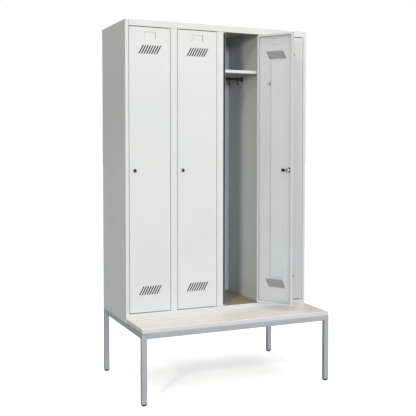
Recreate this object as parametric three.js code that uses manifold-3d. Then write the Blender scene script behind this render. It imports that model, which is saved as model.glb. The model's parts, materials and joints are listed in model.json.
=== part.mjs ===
// Steel clothes locker with four doors, standing on a tubular bench frame whose
// wooden seat board reaches out in front of the doors. Millimetres, +Z up. The origin
// lies on the floor, in the middle of the space that the whole object takes, the doors
// face -Y, and the third door from the left stands open.

import * as THREE from 'three';
import { mergeVertices } from 'three/addons/utils/BufferGeometryUtils.js';
import Module from 'manifold-3d';

const wasm = await Module();
wasm.setup();

// Overall sizes
const lockerWidth = 1200;
const lockerDepth = 500;
const lockerHeight = 1775;
const seatReach = 300;
const benchHeight = 405;
const doorCount = 4;
const openDoor = 3;
const openAngle = 122;

// Clearances: between fixed pieces that touch, round a running fit, and the overrun of a cut
const seam = 0.3;
const runningGap = 0.35;
const overrun = 2;
const weldDistance = 0.001;

// Sheet steel of the cabinet and the doors
const sheet = 1;
const bendRadius = 1.2;
const bendSteps = 2;

// Bench frame of square tube, with its plastic feet
const tubeSize = 30;
const tubeWall = 1.5;
const tubeCorner = 3;
const tubeCornerSteps = 2;
const crossRailLedge = 10;
const footHeight = 11;
const footFlange = 3;
const footPlugLength = 18;
const footRimRadius = 14;
const footFlatRadius = 8;
const footSteps = 3;
const footSides = 16;

// Seat board
const boardThickness = 25;
const boardInset = 3;
const boardEdge = 2.5;
const boardEdgeSteps = 2;

// Cabinet front: mullions between the doors, half mullions at the ends, and two rails
const mullionWidth = 42;
const channelDepth = 20;
const stopWidth = 20;
const topRailHeight = 37;
const floorRailHeight = 52;
const railReturn = 28;
const railUpturn = 10;
const backFlange = 15;
const postLeg = 5;
const weldFlange = 15;
const restFlange = 22;

// Hat shelf and the coat rail under it
const shelfDrop = 262;
const shelfNose = 19;
const shelfNoseReturn = 10;
const shelfSetback = 26;
const coatRailDrop = 295;
const coatRailSetback = 285;
const coatRailRadius = 8;
const coatRailFlangeRadius = 16;
const coatRailFlange = 2;
const coatRailSides = 14;

// Coat hooks that slide on the rail
const hookPlaceShares = [0.61, 0.82];
const hookRingWall = 3;
const hookRingWidth = 8;
const hookWireRadius = 2.4;
const hookDrop = 43;
const hookBowRadius = 8.5;
const hookTip = 9;
const hookBowSteps = 6;
const hookWireSides = 8;

// Doors: flat pans with folded edges that hang on pivot pins
const doorSideGap = 2.2;
const doorEndGap = 4;
const doorDepth = 18;
const sideLip = 12;
const endLip = 12;
const pivotInset = 8;
const pivotSetback = 5;
const pivotRadius = 3;
const pivotReach = 4;
const pivotCollarRadius = 4.8;
const pivotSides = 16;

// Ventilation slots, in a slanting row above and below
const slotCount = 8;
const slotPitch = 15.3;
const slotHeight = 51;
const slotLean = 27;
const slotWidth = 7.8;
const slotChamfer = 1.2;
const slotEdge = 104;

// Label panel, pressed in between two slits and joined to the door above and below
const labelWidth = 66;
const labelHeight = 40;
const labelDrop = 25;
const labelDepth = 3;
const labelSlope = 5;
const labelRoot = 2;
const slitWidth = 1.5;

// Stiffener welded to the inside of the door
const stiffenerWidth = 80;
const stiffenerShift = 8.5;
const stiffenerDepth = 11;
const stiffenerSlope = 3;
const stiffenerFoot = 6;
const stiffenerTopGap = 12;
const stiffenerFloorGap = 21;

// Cam lock
const lockInset = 33.8;
const lockRadius = 9;
const lockSides = 20;
const bezelRadius = 11.5;
const bezelHeight = 2.5;
const bezelRim = 1;
const barrelLength = 23;
const clipRadius = 15;
const clipHeight = 3;
const clipMouth = 9;
const plugRadius = 6;
const plugHeadRecess = 0.8;
const keySlotWidth = 1.6;
const keySlotLength = 8;
const keySlotDepth = 6;
const camLength = 38;
const camWidth = 14;
const camThickness = 2.5;
const camNutRadius = 6.5;
const camNutHeight = 3.5;
const camNutSides = 6;
const camEndSteps = 6;

// Small hook for a towel inside each door
const towelHookGap = 0.8;
const towelHookDrop = 288;
const towelHookWidth = 8;
const towelHookThickness = 1.5;
const towelHookHeight = 24;
const towelHookReach = 13;
const towelHookTip = 9;

// Places that follow from the sizes above
const frontY = (seatReach - lockerDepth) / 2;
const backY = frontY + lockerDepth;
const seatFrontY = frontY - seatReach;
const leftX = -lockerWidth / 2;
const rightX = lockerWidth / 2;
const pitch = lockerWidth / doorCount;
const halfMullion = mullionWidth / 2;
const cabinetBase = benchHeight + seam;
const topZ = benchHeight + lockerHeight;
const floorZ = benchHeight + floorRailHeight;
const openingTopZ = topZ - topRailHeight;
const faceLine = frontY + sheet / 2;
const bendLine = bendRadius + sheet / 2;
const bendOuter = bendRadius + sheet;
const innerBackLine = backY - sheet - seam - sheet / 2;
const halfPlate = lockerWidth / 2 - sheet - seam;
const mullionX = (index) => leftX + index * pitch;

const materials = {
  cabinet: { color: 0xe3e5e1, roughness: 0.45, metalness: 0.1 },
  frame: { color: 0xb4babc, roughness: 0.4, metalness: 0.3 },
  board: { color: 0xeee5dc, roughness: 0.5, metalness: 0 },
  foot: { color: 0x17181a, roughness: 0.6, metalness: 0 },
  rail: { color: 0x35373a, roughness: 0.35, metalness: 0.6 },
  hook: { color: 0x1b1c1e, roughness: 0.5, metalness: 0 },
  lock: { color: 0x55575b, roughness: 0.3, metalness: 0.8 },
  cam: { color: 0xb9a777, roughness: 0.35, metalness: 0.9 },
};

// Closed three.js geometry into a solid that can be joined and cut, and back again
function toSolid(geometry) {
  const bare = geometry.clone();
  bare.deleteAttribute('normal');
  bare.deleteAttribute('uv');
  const merged = mergeVertices(bare, weldDistance);
  const positions = merged.getAttribute('position');
  return new wasm.Manifold(new wasm.Mesh({
    numProp: 3,
    vertProperties: new Float32Array(positions.array),
    triVerts: new Uint32Array(merged.getIndex().array),
  }));
}

function toGeometry(solid) {
  const mesh = solid.getMesh();
  const geometry = new THREE.BufferGeometry();
  geometry.setAttribute('position', new THREE.BufferAttribute(new Float32Array(mesh.vertProperties), 3));
  geometry.setIndex(new THREE.BufferAttribute(new Uint32Array(mesh.triVerts), 1));
  return geometry;
}

const joined = (solids) => solids.reduce((whole, next) => whole.add(next));
const cutBy = (solid, tools) => tools.reduce((rest, tool) => rest.subtract(tool), solid);

// Outlines are drawn flat and then stood along an axis of the part
const planBasis = new THREE.Matrix4();
const sideBasis = new THREE.Matrix4().makeBasis(
  new THREE.Vector3(0, 1, 0), new THREE.Vector3(0, 0, 1), new THREE.Vector3(1, 0, 0));
const frontBasis = new THREE.Matrix4().makeBasis(
  new THREE.Vector3(1, 0, 0), new THREE.Vector3(0, 0, 1), new THREE.Vector3(0, -1, 0));

function extruded(shape, basis, from, to) {
  const geometry = new THREE.ExtrudeGeometry(shape, { depth: to - from, bevelEnabled: false });
  geometry.translate(0, 0, from);
  geometry.applyMatrix4(basis);
  return toSolid(geometry);
}

// An outline in plan runs up Z, one in side view runs along X, one in front view runs along Y
const alongZ = (shape, from, to) => extruded(shape, planBasis, from, to);
const alongX = (shape, from, to) => extruded(shape, sideBasis, from, to);
const alongY = (shape, from, to) => extruded(shape, frontBasis, -to, -from);

function block(x0, x1, y0, y1, z0, z1) {
  const geometry = new THREE.BoxGeometry(x1 - x0, y1 - y0, z1 - z0);
  geometry.translate((x0 + x1) / 2, (y0 + y1) / 2, (z0 + z1) / 2);
  return toSolid(geometry);
}

// A solid of revolution from [radius, height] points, standing on the Z axis
function turned(points, sides) {
  const profile = points.map(([radius, height]) => new THREE.Vector2(radius, height));
  const geometry = new THREE.LatheGeometry(profile, sides);
  geometry.rotateX(Math.PI / 2);
  return toSolid(geometry);
}

function rod(radius, from, to, sides) {
  return turned([[0, from], [radius, from], [radius, to], [0, to]], sides);
}

// Round the corners of a path of points
function roundedPath(points, radius) {
  const path = [];
  points.forEach((point, index) => {
    if (index === 0 || index === points.length - 1) {
      path.push(point);
      return;
    }
    const before = points[index - 1].clone().sub(point).normalize();
    const after = points[index + 1].clone().sub(point).normalize();
    const turn = Math.PI - before.angleTo(after);
    const middle = before.clone().add(after).normalize();
    const centre = point.clone().addScaledVector(middle, radius / Math.cos(turn / 2));
    const start = point.clone().addScaledVector(before, radius * Math.tan(turn / 2)).sub(centre);
    const sense = Math.sign(before.cross(after));
    for (let step = 0; step <= bendSteps; step += 1) {
      const angle = -sense * turn * step / bendSteps;
      path.push(start.clone().rotateAround(new THREE.Vector2(), angle).add(centre));
    }
  });
  return path;
}

// The cross-section of a folded sheet, from the corners of its middle line
function foldedSheet(corners, thickness = sheet, radius = bendLine) {
  const path = roundedPath(corners.map(([x, y]) => new THREE.Vector2(x, y)), radius);
  const faces = [[], []];
  path.forEach((point, index) => {
    const ahead = path[Math.min(index + 1, path.length - 1)].clone().sub(point).normalize();
    const behind = point.clone().sub(path[Math.max(index - 1, 0)]).normalize();
    const along = ahead.clone().add(behind).normalize();
    const square = along.clone().rotateAround(new THREE.Vector2(), Math.PI / 2);
    const single = index === 0 || index === path.length - 1;
    const stretch = single ? 1 : along.dot(ahead);
    faces[0].push(point.clone().addScaledVector(square, thickness / 2 / stretch));
    faces[1].unshift(point.clone().addScaledVector(square, -thickness / 2 / stretch));
  });
  return new THREE.Shape([...faces[0], ...faces[1]]);
}

function roundedSquare(size, corner, steps) {
  const half = size / 2 - corner;
  const points = [];
  [[1, 1], [-1, 1], [-1, -1], [1, -1]].forEach(([x, y], quarter) => {
    for (let step = 0; step <= steps; step += 1) {
      const angle = (quarter + step / steps) * Math.PI / 2;
      const across = x * half + corner * Math.cos(angle);
      const along = y * half + corner * Math.sin(angle);
      points.push(new THREE.Vector2(across, along));
    }
  });
  return points;
}

const locker = new THREE.Group();

function addMesh(parent, name, solid, look) {
  const mesh = new THREE.Mesh(toGeometry(solid), new THREE.MeshStandardMaterial(materials[look]));
  mesh.name = name;
  parent.add(mesh);
  return mesh;
}

// Square tube from one end to the other, standing up until it is turned
function squareTube(length) {
  const outline = new THREE.Shape(roundedSquare(tubeSize, tubeCorner, tubeCornerSteps));
  const bore = roundedSquare(tubeSize - 2 * tubeWall, tubeCorner - tubeWall, tubeCornerSteps);
  outline.holes.push(new THREE.Path(bore));
  return alongZ(outline, 0, length);
}

// Bench frame: four legs run up to the top of the frame, and the rails butt against them
function addBench() {
  const bench = new THREE.Group();
  locker.add(bench);
  const legX = lockerWidth / 2 - tubeSize / 2;
  const legY = (lockerDepth + seatReach) / 2 - tubeSize / 2;
  const railZ = benchHeight - tubeSize / 2;
  const ends = [['front', -1], ['back', 1]];
  const sides = [['left', -1], ['right', 1]];

  const plugSize = tubeSize - 2 * tubeWall - 2 * seam;
  const plugCorner = tubeCorner - tubeWall;
  const flangeBase = footHeight - footFlange;
  const dome = [[0, 0], [footFlatRadius, 0]];
  for (let step = 1; step <= footSteps; step += 1) {
    const angle = step / footSteps * Math.PI / 2;
    const radius = footFlatRadius + (footRimRadius - footFlatRadius) * Math.sin(angle);
    dome.push([radius, flangeBase * (1 - Math.cos(angle))]);
  }
  dome.push([footRimRadius, footHeight - footFlange / 2], [0, footHeight - footFlange / 2]);
  const foot = joined([
    turned(dome, footSides),
    alongZ(new THREE.Shape(roundedSquare(tubeSize, tubeCorner, tubeCornerSteps)), flangeBase, footHeight),
    alongZ(new THREE.Shape(roundedSquare(plugSize, plugCorner, 1)), flangeBase, footHeight + footPlugLength),
  ]);

  ends.forEach(([end, endSign]) => {
    sides.forEach(([side, sideSign]) => {
      const legBase = footHeight + seam;
      const leg = addMesh(bench, `bench_leg_${end}_${side}`, squareTube(benchHeight - legBase), 'frame');
      leg.position.set(sideSign * legX, endSign * legY, legBase);
      const plug = addMesh(bench, `foot_${end}_${side}`, foot, 'foot');
      plug.position.set(sideSign * legX, endSign * legY, 0);
    });
    const railLength = lockerWidth - 2 * (tubeSize + seam);
    const rail = addMesh(bench, `bench_rail_${end}`, squareTube(railLength), 'frame');
    rail.rotation.y = Math.PI / 2;
    rail.position.set(-railLength / 2, endSign * legY, railZ);
  });

  sides.forEach(([side, sideSign]) => {
    const railLength = lockerDepth + seatReach - 2 * (tubeSize + seam);
    const rail = addMesh(bench, `bench_rail_${side}`, squareTube(railLength), 'frame');
    rail.rotation.x = -Math.PI / 2;
    rail.position.set(sideSign * legX, -railLength / 2, railZ);
  });

  // The cross rail carries the back edge of the seat and the front edge of the cabinet
  const crossLength = lockerWidth - 2 * (tubeSize + seam);
  const cross = addMesh(bench, 'bench_cross_rail', squareTube(crossLength), 'frame');
  cross.rotation.y = Math.PI / 2;
  cross.position.set(-crossLength / 2, frontY - crossRailLedge + tubeSize / 2, railZ);

  // Seat board with eased long edges
  const boardBack = frontY - seam;
  const boardFront = seatFrontY + boardInset / 2;
  const boardBase = benchHeight + seam;
  const boardTop = boardBase + boardThickness;
  const edgeCentres = [
    [boardBack - boardEdge, boardTop - boardEdge], [boardFront + boardEdge, boardTop - boardEdge],
    [boardFront + boardEdge, boardBase + boardEdge], [boardBack - boardEdge, boardBase + boardEdge],
  ];
  const outline = [];
  edgeCentres.forEach(([y, z], quarter) => {
    for (let step = 0; step <= boardEdgeSteps; step += 1) {
      const angle = (quarter + step / boardEdgeSteps) * Math.PI / 2;
      outline.push(new THREE.Vector2(y + boardEdge * Math.cos(angle), z + boardEdge * Math.sin(angle)));
    }
  });
  const board = alongX(new THREE.Shape(outline), leftX + boardInset, rightX - boardInset);
  addMesh(bench, 'seat_board', board, 'board');
}

// Side panel: a flat sheet that is butt welded to a front post and to the back
function sidePanel(sign) {
  const outer = sign * lockerWidth / 2;
  const inner = outer - sign * sheet;
  return block(
    Math.min(outer, inner), Math.max(outer, inner),
    faceLine + postLeg + seam, backY - sheet - seam, cabinetBase, topZ);
}

// Front post: leg, face, return and, where a door closes against it, a stop
function frontPost(sign, withStop) {
  const sideLine = sign * (lockerWidth / 2 - sheet / 2);
  const returnLine = sideLine - sign * (halfMullion - sheet);
  const stopLine = faceLine + channelDepth - sheet;
  const corners = [
    [sideLine, faceLine + postLeg], [sideLine, faceLine], [returnLine, faceLine], [returnLine, stopLine],
  ];
  if (withStop) corners.push([returnLine - sign * stopWidth, stopLine]);
  const post = alongZ(foldedSheet(corners), cabinetBase, topZ);
  const topCut = block(
    -halfPlate - seam, halfPlate + seam, frontY - overrun, backY, topZ - sheet - seam, topZ + overrun);
  const stopRoot = returnLine - sign * sheet / 2;
  const stopReach = stopRoot - sign * (stopWidth + overrun);
  const stopCuts = [[openingTopZ - seam, topZ + overrun], [cabinetBase - overrun, floorZ + seam]].map(
    ([low, high]) => block(
      Math.min(stopRoot, stopReach), Math.max(stopRoot, stopReach),
      frontY - overrun, frontY + channelDepth + overrun, low, high));
  return cutBy(post, [topCut, ...stopCuts]);
}

// Top panel: back flange, top, front rail, its return with the pivot holes, and an upturn
function topPanel() {
  const plateLine = topZ - sheet / 2;
  const returnLine = openingTopZ + sheet / 2;
  const upturnLine = faceLine + railReturn;
  const section = foldedSheet([
    [innerBackLine, topZ - backFlange], [innerBackLine, plateLine], [faceLine, plateLine],
    [faceLine, returnLine], [upturnLine, returnLine], [upturnLine, openingTopZ + railUpturn],
  ]);
  const flangeFront = upturnLine + sheet + seam;
  const flangeBack = innerBackLine - sheet - seam;
  const flanges = [-1, 1].map((sign) => block(
    sign * halfPlate - (sign > 0 ? sheet : 0), sign * halfPlate + (sign > 0 ? 0 : sheet),
    flangeFront, flangeBack, topZ - weldFlange, topZ - sheet / 2));
  const cornerCuts = [-1, 1].map((sign) => cornerCut(sign, openingTopZ - overrun, topZ - sheet));
  return cutBy(joined([alongX(section, -halfPlate, halfPlate), ...flanges]), [
    ...cornerCuts, ...pivotHoles(openingTopZ - overrun, openingTopZ + sheet + overrun),
  ]);
}

// Room for the back of a front post, under the corner of the top or through the floor
function cornerCut(sign, z0, z1) {
  const inner = sign * (lockerWidth / 2 - halfMullion - seam);
  const outer = sign * (lockerWidth / 2 + overrun);
  const behind = frontY + channelDepth + seam;
  return block(Math.min(inner, outer), Math.max(inner, outer), frontY - overrun, behind, z0, z1);
}

// Floor panel: back flange, floor with the pivot holes, front rail and the flanges it rests on
function floorPanel() {
  const plateLine = floorZ - sheet / 2;
  const baseLine = cabinetBase + sheet / 2;
  const section = foldedSheet([
    [innerBackLine, floorZ - backFlange], [innerBackLine, plateLine], [faceLine, plateLine],
    [faceLine, baseLine], [faceLine + tubeSize - crossRailLedge, baseLine],
  ]);
  const webFront = faceLine + tubeSize;
  const webBack = innerBackLine - sheet - seam;
  const webs = [-1, 1].flatMap((sign) => {
    const outer = sign * halfPlate;
    const inner = outer - sign * sheet;
    const tip = outer - sign * restFlange;
    return [
      block(
        Math.min(outer, inner), Math.max(outer, inner), webFront, webBack, cabinetBase, floorZ - sheet / 2),
      block(Math.min(outer, tip), Math.max(outer, tip), webFront, webBack, cabinetBase, cabinetBase + sheet),
    ];
  });
  const cuts = [-1, 1].map((sign) => cornerCut(sign, cabinetBase - overrun, topZ));
  return cutBy(joined([alongX(section, -halfPlate, halfPlate), ...webs]), [
    ...cuts, ...pivotHoles(floorZ - sheet - overrun, floorZ + overrun),
  ]);
}

const pivotX = (index) => mullionX(index + 1) - halfMullion - doorSideGap - pivotInset;
const pivotY = frontY + pivotSetback;

function pivotHoles(z0, z1) {
  return Array.from({ length: doorCount }, (_, index) => rod(pivotRadius + runningGap, z0, z1, pivotSides)
    .translate([pivotX(index), pivotY, 0]));
}

// Partition: one sheet that runs forward and folds into the mullion and the next door's stop
function partition(index) {
  const wallLine = mullionX(index) - halfMullion + sheet / 2;
  const returnLine = mullionX(index) + halfMullion - sheet / 2;
  const stopLine = faceLine + channelDepth - sheet;
  const section = foldedSheet([
    [wallLine + weldFlange, innerBackLine], [wallLine, innerBackLine], [wallLine, faceLine],
    [returnLine, faceLine], [returnLine, stopLine], [returnLine + stopWidth, stopLine],
  ]);
  const notchBack = faceLine + railReturn + sheet / 2 + seam;
  const notchX0 = wallLine - overrun;
  const notchX1 = returnLine + stopWidth + overrun;
  return cutBy(alongZ(section, floorZ + seam, topZ - sheet - seam), [
    block(notchX0, notchX1, frontY - overrun, notchBack, openingTopZ - seam, topZ),
    block(notchX0, notchX1, innerBackLine - sheet - seam, backY, topZ - backFlange - seam, topZ),
  ]);
}

// Free width between the walls of a compartment, and the hat shelf in it
const bayLeft = (index) => (index === 0 ? leftX + sheet : mullionX(index) - halfMullion + sheet);
const bayRight = (index) => (index === doorCount - 1 ? rightX - sheet : mullionX(index + 1) - halfMullion);

function hatShelf(index) {
  const x0 = bayLeft(index) + seam;
  const x1 = bayRight(index) - seam;
  const plateLine = topZ - shelfDrop - sheet / 2;
  const noseLine = frontY + shelfSetback;
  const backLine = innerBackLine - bendOuter - seam;
  const section = foldedSheet([
    [noseLine + shelfNoseReturn, topZ - shelfDrop - shelfNose + sheet / 2],
    [noseLine, topZ - shelfDrop - shelfNose + sheet / 2],
    [noseLine, plateLine], [backLine, plateLine], [backLine, plateLine - weldFlange],
  ]);
  const flangeFront = noseLine + shelfNoseReturn + sheet;
  const flanges = [[x0, x0 + sheet], [x1 - sheet, x1]].map(([left, right]) => block(
    left, right, flangeFront, backLine, plateLine - weldFlange, plateLine));
  return joined([alongX(section, x0, x1), ...flanges]);
}

// Coat rail: a round bar between two flanges riveted to the walls
function coatRail(index) {
  const length = bayRight(index) - bayLeft(index) - 2 * seam;
  return turned([
    [0, 0], [coatRailFlangeRadius, 0],
    [coatRailFlangeRadius, coatRailFlange], [coatRailRadius, coatRailFlange],
    [coatRailRadius, length - coatRailFlange], [coatRailFlangeRadius, length - coatRailFlange],
    [coatRailFlangeRadius, length], [0, length],
  ], coatRailSides);
}

// Coat hook: a ring on the rail and a wire that drops and bows forward, drawn in the YZ plane
function coatHook() {
  const bore = coatRailRadius + runningGap;
  const rim = bore + hookRingWall;
  const half = hookRingWidth / 2;
  const ring = turned([[bore, -half], [rim, -half], [rim, half], [bore, half], [bore, -half]], coatRailSides)
    .rotate([0, 90, 0]);
  const bowZ = -(hookDrop - hookBowRadius - hookWireRadius);
  const points = [new THREE.Vector3(0, 0, -(bore + hookRingWall / 2))];
  for (let step = 0; step <= hookBowSteps; step += 1) {
    const angle = step / hookBowSteps * Math.PI;
    points.push(new THREE.Vector3(
      0, hookBowRadius * (Math.cos(angle) - 1), bowZ - hookBowRadius * Math.sin(angle)));
  }
  points.push(new THREE.Vector3(0, -2 * hookBowRadius, bowZ + hookTip));
  return ring.add(tubeAlong(points, hookWireRadius, hookWireSides));
}

// Round wire through points that lie in one plane of constant X
function tubeAlong(points, radius, sides) {
  const positions = [];
  const indices = [];
  points.forEach((point, index) => {
    const ahead = points[Math.min(index + 1, points.length - 1)].clone().sub(point);
    const behind = point.clone().sub(points[Math.max(index - 1, 0)]);
    const along = ahead.normalize().add(behind.normalize()).normalize();
    const across = new THREE.Vector3(1, 0, 0);
    const square = new THREE.Vector3().crossVectors(along, across);
    for (let side = 0; side < sides; side += 1) {
      const angle = side / sides * 2 * Math.PI;
      const rim = point.clone().addScaledVector(across, radius * Math.cos(angle))
        .addScaledVector(square, radius * Math.sin(angle));
      positions.push(rim.x, rim.y, rim.z);
    }
  });
  const last = (points.length - 1) * sides;
  for (let ring = 0; ring < points.length - 1; ring += 1) {
    for (let side = 0; side < sides; side += 1) {
      const next = (side + 1) % sides;
      const a = ring * sides + side;
      const b = ring * sides + next;
      indices.push(a, b, a + sides, b, b + sides, a + sides);
    }
  }
  for (let side = 1; side < sides - 1; side += 1) {
    indices.push(0, side + 1, side, last, last + side, last + side + 1);
  }
  const geometry = new THREE.BufferGeometry();
  geometry.setAttribute('position', new THREE.Float32BufferAttribute(positions, 3));
  geometry.setIndex(indices);
  return toSolid(geometry);
}

// Door sizes, in a frame whose origin is the pivot axis of the closed door, at floor height
const doorWidth = pitch - mullionWidth - 2 * doorSideGap;
const doorRight = pivotInset;
const doorLeft = doorRight - doorWidth;
const doorMiddle = (doorLeft + doorRight) / 2;
const doorFace = -pivotSetback;
const doorInside = doorFace + sheet;
const doorBack = doorFace + doorDepth;
const doorBase = floorZ + doorEndGap;
const doorTop = openingTopZ - doorEndGap;
const lockX = doorLeft + lockInset;
const lockZ = (doorBase + doorTop) / 2;
const stiffenerLeft = doorMiddle - stiffenerShift - stiffenerWidth / 2;

// One slanting slot, leaning to the hinge side at its top, with its corners cut
function slotOutline(x, z) {
  const lean = slotLean / slotHeight;
  const half = slotHeight / 2;
  const points = [
    [-1, -half + slotChamfer, 0], [-1, -half, 1], [1, -half, -1], [1, -half + slotChamfer, 0],
    [1, half - slotChamfer, 0], [1, half, -1], [-1, half, 1], [-1, half - slotChamfer, 0],
  ];
  return new THREE.Shape(points.map(([side, rise, inward]) => new THREE.Vector2(
    x + side * slotWidth / 2 + inward * slotChamfer + lean * rise, z + rise)));
}

function ventSlots() {
  const rows = [doorTop - slotEdge - slotHeight / 2, doorBase + slotEdge + slotHeight / 2];
  return rows.flatMap((z) => Array.from({ length: slotCount }, (_, index) => {
    const x = doorMiddle + (index - (slotCount - 1) / 2) * slotPitch;
    return alongY(slotOutline(x, z), doorFace - overrun, doorInside + overrun);
  }));
}

// Door pan: a C-shaped sheet with the folded top and bottom let in between its sides
function doorPan() {
  const faceMiddle = doorFace + sheet / 2;
  const backMiddle = doorBack - sheet / 2;
  const left = doorLeft + sheet / 2;
  const right = doorRight - sheet / 2;
  const upright = foldedSheet([
    [left + sideLip, backMiddle], [left, backMiddle], [left, faceMiddle],
    [right, faceMiddle], [right, backMiddle], [right - sideLip, backMiddle],
  ]);
  const endSection = (edge, sense) => foldedSheet([
    [faceMiddle, edge - sense * slotEdge / 2], [faceMiddle, edge - sense * sheet / 2],
    [backMiddle, edge - sense * sheet / 2], [backMiddle, edge - sense * endLip],
  ]);
  const ends = [[doorTop, 1], [doorBase, -1]].map(([edge, sense]) => alongX(
    endSection(edge, sense), doorLeft + bendOuter, doorRight - bendOuter));
  const shell = joined([alongZ(upright, doorBase + bendOuter, doorTop - bendOuter), ...ends]);

  const labelTop = doorTop - labelDrop;
  const labelBase = labelTop - labelHeight;
  const labelLeft = doorMiddle - labelWidth / 2;
  const labelRight = doorMiddle + labelWidth / 2;
  const window = block(
    labelLeft - slitWidth, labelRight + slitWidth,
    doorFace - overrun, doorInside + overrun, labelBase, labelTop);
  const label = alongX(foldedSheet([
    [faceMiddle, labelTop + labelRoot], [faceMiddle, labelTop],
    [faceMiddle + labelDepth, labelTop - labelSlope], [faceMiddle + labelDepth, labelBase + labelSlope],
    [faceMiddle, labelBase], [faceMiddle, labelBase - labelRoot],
  ]), labelLeft, labelRight);
  const lockHole = rod(lockRadius + seam, -overrun, sheet + overrun, lockSides)
    .rotate([-90, 0, 0]).translate([lockX, doorFace, lockZ]);

  const topPin = rod(pivotRadius, doorTop - sheet / 2, openingTopZ + sheet + pivotReach, pivotSides);
  const floorPin = rod(pivotRadius, floorZ - sheet - pivotReach, doorBase + sheet / 2, pivotSides);
  const collar = rod(pivotCollarRadius, floorZ + seam, doorBase + sheet / 2, pivotSides);
  const body = cutBy(shell, [window, lockHole, ...ventSlots()]);
  return joined([body, label, topPin, floorPin, collar]);
}

// Stiffener: a hat section between the two rows of slots
function doorStiffener() {
  const foot = doorInside + seam + sheet / 2;
  const crown = doorInside + stiffenerDepth;
  const left = stiffenerLeft;
  const right = left + stiffenerWidth;
  const section = foldedSheet([
    [left - stiffenerFoot, foot], [left, foot], [left + stiffenerSlope, crown],
    [right - stiffenerSlope, crown], [right, foot], [right + stiffenerFoot, foot],
  ]);
  const slotEnd = slotEdge + slotHeight;
  return alongZ(section, doorBase + slotEnd + stiffenerFloorGap, doorTop - slotEnd - stiffenerTopGap);
}

// Lock body: bezel in front of the sheet, barrel through it and a horseshoe clip behind it
function lockBody() {
  const bore = plugRadius + runningGap;
  const sleeve = turned([
    [bore, -bezelHeight], [bezelRadius - bezelRim, -bezelHeight], [bezelRadius, -bezelHeight + bezelRim],
    [bezelRadius, -seam], [lockRadius, -seam], [lockRadius, barrelLength], [bore, barrelLength],
    [bore, -bezelHeight],
  ], lockSides);
  const clipFloor = sheet + seam;
  const clip = cutBy(rod(clipRadius, clipFloor, clipFloor + clipHeight, lockSides), [
    rod(lockRadius - sheet, clipFloor - overrun, clipFloor + clipHeight + overrun, lockSides),
    block(
      -clipRadius - overrun, 0, -clipMouth / 2, clipMouth / 2,
      clipFloor - overrun, clipFloor + clipHeight + overrun),
  ]);
  return sleeve.add(clip);
}

// Lock plug with its key slot in front and the cam behind, held on by a nut
function lockCam() {
  const camFloor = barrelLength + runningGap;
  const headZ = -bezelHeight + plugHeadRecess;
  const plug = rod(plugRadius, headZ, camFloor + camThickness, lockSides);
  const keySlot = block(
    -keySlotWidth / 2, keySlotWidth / 2, -keySlotLength / 2, keySlotLength / 2,
    headZ - overrun, headZ + keySlotDepth);
  const half = camWidth / 2;
  const outline = [];
  [[0, 1], [camLength - half, -1]].forEach(([x, facing]) => {
    for (let step = 0; step <= camEndSteps; step += 1) {
      const angle = facing * Math.PI / 2 + step / camEndSteps * Math.PI;
      outline.push(new THREE.Vector2(x + half * Math.cos(angle), half * Math.sin(angle)));
    }
  });
  const cam = alongZ(new THREE.Shape(outline), camFloor, camFloor + camThickness);
  const nutBase = camFloor + camThickness / 2;
  const nut = rod(camNutRadius, nutBase, nutBase + camNutHeight, camNutSides);
  return cutBy(joined([plug, cam, nut]), [keySlot]);
}

// Towel hook: a strip riveted to the door beside the stiffener, turned out and up at its lower end
function towelHook() {
  const plate = doorInside + seam + towelHookThickness / 2;
  const top = doorTop - towelHookDrop;
  const low = top - towelHookHeight;
  const section = foldedSheet([
    [plate, top], [plate, low], [plate + towelHookReach, low], [plate + towelHookReach, low + towelHookTip],
  ], towelHookThickness, bendRadius + towelHookThickness / 2);
  const left = stiffenerLeft + stiffenerWidth + stiffenerFoot + towelHookGap;
  return alongX(section, left, left + towelHookWidth);
}

function addCabinet() {
  const cabinet = new THREE.Group();
  locker.add(cabinet);
  [['left', -1], ['right', 1]].forEach(([side, sign]) => {
    addMesh(cabinet, `side_panel_${side}`, sidePanel(sign), 'cabinet');
    addMesh(cabinet, `front_post_${side}`, frontPost(sign, side === 'left'), 'cabinet');
  });
  const back = block(leftX, rightX, backY - sheet, backY, cabinetBase, topZ);
  addMesh(cabinet, 'back_panel', back, 'cabinet');
  addMesh(cabinet, 'top_panel', topPanel(), 'cabinet');
  addMesh(cabinet, 'floor_panel', floorPanel(), 'cabinet');
  for (let index = 1; index < doorCount; index += 1) {
    addMesh(cabinet, `partition_${index}`, partition(index), 'cabinet');
  }
  for (let index = 0; index < doorCount; index += 1) {
    addMesh(cabinet, `hat_shelf_${index + 1}`, hatShelf(index), 'cabinet');
    const rail = addMesh(cabinet, `coat_rail_${index + 1}`, coatRail(index), 'rail');
    rail.rotation.y = Math.PI / 2;
    rail.position.set(bayLeft(index) + seam, frontY + coatRailSetback, topZ - coatRailDrop);
    hookPlaceShares.forEach((share, order) => {
      const hook = addMesh(cabinet, `coat_hook_${index + 1}${'ab'[order]}`, coatHook(), 'hook');
      hook.position.set(mullionX(index) + share * pitch, frontY + coatRailSetback, topZ - coatRailDrop);
    });
  }
}

function addDoors() {
  for (let index = 0; index < doorCount; index += 1) {
    const door = new THREE.Group();
    door.position.set(pivotX(index), pivotY, 0);
    door.rotation.z = index + 1 === openDoor ? THREE.MathUtils.degToRad(openAngle) : 0;
    locker.add(door);
    addMesh(door, `door_${index + 1}`, doorPan(), 'cabinet');
    addMesh(door, `door_stiffener_${index + 1}`, doorStiffener(), 'cabinet');
    addMesh(door, `towel_hook_${index + 1}`, towelHook(), 'rail');
    const lock = new THREE.Group();
    lock.position.set(lockX, doorFace, lockZ);
    lock.rotation.x = -Math.PI / 2;
    door.add(lock);
    addMesh(lock, `lock_body_${index + 1}`, lockBody(), 'lock');
    addMesh(lock, `lock_cam_${index + 1}`, lockCam(), 'cam');
  }
}

addBench();
addCabinet();
addDoors();

export default locker;
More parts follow.
